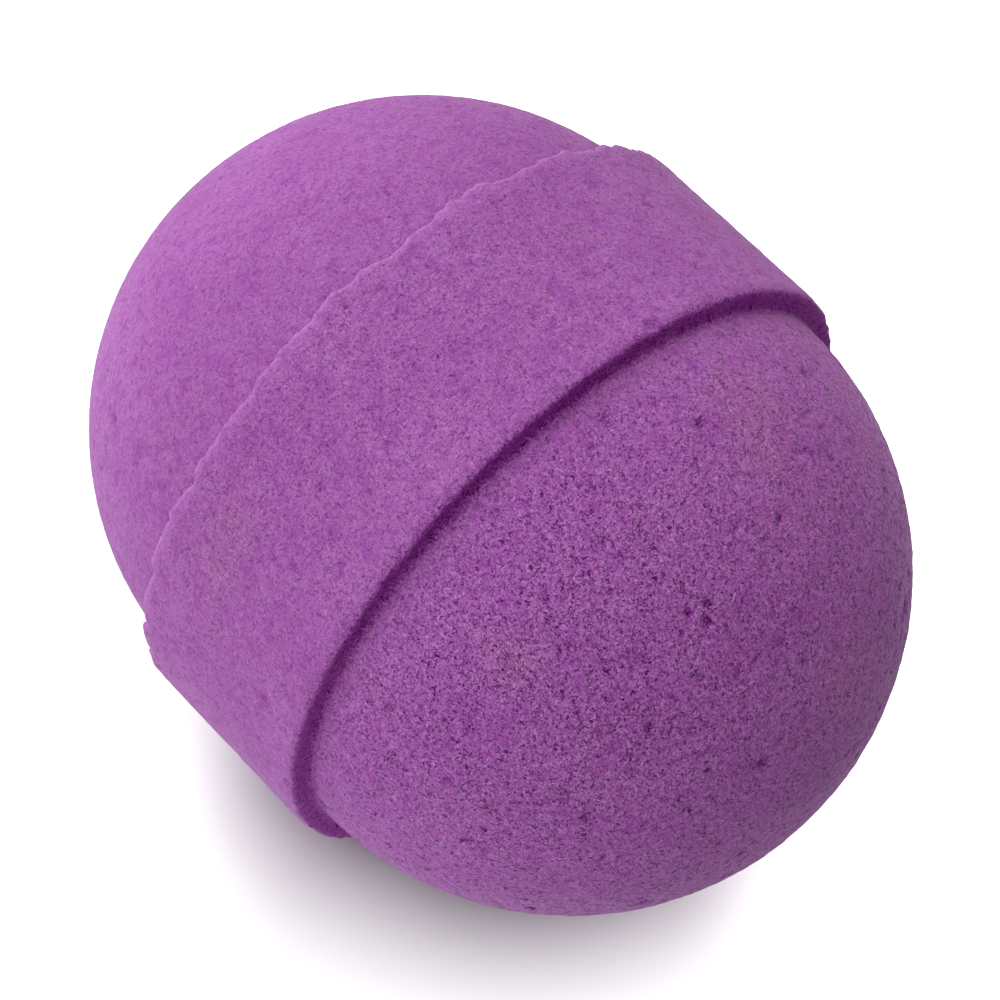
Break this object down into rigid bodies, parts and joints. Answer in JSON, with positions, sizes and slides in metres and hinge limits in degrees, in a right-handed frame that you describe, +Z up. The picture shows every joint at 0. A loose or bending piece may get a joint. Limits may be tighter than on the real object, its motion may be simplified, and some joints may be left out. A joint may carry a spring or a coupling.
{
  "type": "bath bomb",
  "caption": "Pressed ball of bath powder: two hemispherical domes on a wider cylindrical band, with a flat shoulder round the foot of each dome.",
  "frame": {"origin": "on the ground, on the line where the band touches it, midway along the band", "axes": "+X parallel to the ball's axis of symmetry, which is 34 mm above the ground, towards the front dome; +Z up"},
  "size_m": [0.0842, 0.068, 0.068],
  "materials": {
    "powder_pitted": "matte",
    "powder_smooth": "matte"
  },
  "bodies": {
    "root": {"front_dome": "powder_pitted", "band": "powder_smooth", "back_dome": "powder_smooth"}
  },
  "joints": []
}
